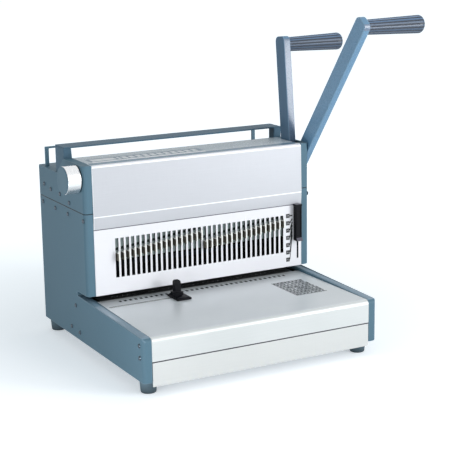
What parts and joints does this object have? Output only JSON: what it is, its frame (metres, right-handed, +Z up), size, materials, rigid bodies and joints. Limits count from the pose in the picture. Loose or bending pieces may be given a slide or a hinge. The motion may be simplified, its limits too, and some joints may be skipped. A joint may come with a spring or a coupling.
{
  "type": "wire binding machine",
  "caption": "Desk binding machine with a punch lever, a wire closer lever, a slotted front plate with raked hooks, a paper table over a waste drawer, and rubber feet.",
  "frame": {"origin": "on the underside of the base pan, under the middle of the front plate's face", "axes": "+X along the punch row to the lever side, +Y from the front to the back, +Z up"},
  "size_m": [0.5125, 0.3726, 0.4888],
  "materials": {
    "slate_paint": "satin",
    "silver_paint": "satin",
    "table_sheet": "satin",
    "bright_metal": "polished",
    "hook_metal": "satin",
    "machine_steel": "satin",
    "bush_brass": "satin",
    "grip_plastic": "matte",
    "black_plastic": "satin",
    "foot_rubber": "matte"
  },
  "bodies": {
    "machine": {"side_panel_left": "slate_paint", "side_panel_right": "slate_paint", "end_cover_left": "slate_paint", "end_cover_right": "slate_paint", "front_cover": "silver_paint", "front_plate": "silver_paint", "top_panel": "slate_paint", "rear_deck": "slate_paint", "back_panel": "slate_paint", "base_pan": "slate_paint", "table": "table_sheet", "die_block": "machine_steel", "punch_guide": "machine_steel", "paper_stop": "machine_steel", "frame_left": "machine_steel", "frame_right": "machine_steel", "tie_bars": "machine_steel", "shaft_bushes": "bush_brass", "closer_bed": "machine_steel", "rear_rest": "slate_paint", "rod_guides": "machine_steel", "foot_front_left": "foot_rubber", "foot_front_right": "foot_rubber", "foot_rear_left": "foot_rubber", "foot_rear_right": "foot_rubber", "side_screws": "machine_steel", "back_screws": "machine_steel"},
    "punch_arm": {"punch_lever": "slate_paint", "punch_grip": "grip_plastic", "lever_nut": "machine_steel", "main_shaft": "machine_steel", "crank_left": "machine_steel", "crank_right": "machine_steel"},
    "punch_ram": {"punch_beam": "machine_steel", "punch_yoke_left": "machine_steel", "punch_yoke_right": "machine_steel", "punch_pins": "machine_steel"},
    "closer_arm": {"closer_lever": "slate_paint", "closer_grip": "grip_plastic"},
    "closer_bar": {"closer_rail": "slate_paint", "closer_post_left": "slate_paint", "closer_post_right": "slate_paint", "closer_rod_left": "machine_steel", "closer_rod_right": "machine_steel", "closer_drive": "machine_steel"},
    "knob": {"size_knob": "bright_metal", "knob_cap": "slate_paint", "knob_shaft": "machine_steel", "stop_cam": "machine_steel"},
    "hook_slide": {"hook_carrier": "hook_metal", "hook_comb_left": "hook_metal", "hook_comb_right": "hook_metal", "size_slider": "black_plastic"},
    "paper_guide": {"edge_guide": "black_plastic", "guide_clamp": "machine_steel"},
    "drawer": {"waste_drawer": "machine_steel", "drawer_front": "silver_paint"}
  },
  "joints": [
    {"name": "punch_lever_turn", "type": "hinge", "parent": "machine", "child": "punch_arm", "pos_m": [0, 0.041, 0.228], "axis": [1, 0, 0], "range_deg": [0, 60]},
    {"name": "punch_ram_slide", "type": "slide", "parent": "machine", "child": "punch_ram", "axis": [0, 0, -1], "range_m": [0, 0.017]},
    {"name": "closer_lever_turn", "type": "hinge", "parent": "machine", "child": "closer_arm", "pos_m": [0, 0.041, 0.228], "axis": [1, 0, 0], "range_deg": [0, 28]},
    {"name": "closer_bar_slide", "type": "slide", "parent": "machine", "child": "closer_bar", "axis": [0, 0, -1], "range_m": [0, 0.013]},
    {"name": "knob_turn", "type": "hinge", "parent": "machine", "child": "knob", "pos_m": [0, 0.022, 0.247], "axis": [1, 0, 0], "range_deg": [-150, 150]},
    {"name": "hook_slide_move", "type": "slide", "parent": "machine", "child": "hook_slide", "axis": [0, 0, -1], "range_m": [0, 0.024]},
    {"name": "edge_guide_move", "type": "slide", "parent": "machine", "child": "paper_guide", "axis": [1, 0, 0], "range_m": [-0.1, 0]},
    {"name": "drawer_move", "type": "slide", "parent": "machine", "child": "drawer", "axis": [0, -1, 0], "range_m": [0, 0.15]}
  ],
  "couplings": [
    {"joint": "punch_ram_slide", "follows": "punch_lever_turn", "m_per_rad": 0.016233},
    {"joint": "closer_bar_slide", "follows": "closer_lever_turn", "m_per_rad": 0.0266}
  ]
}
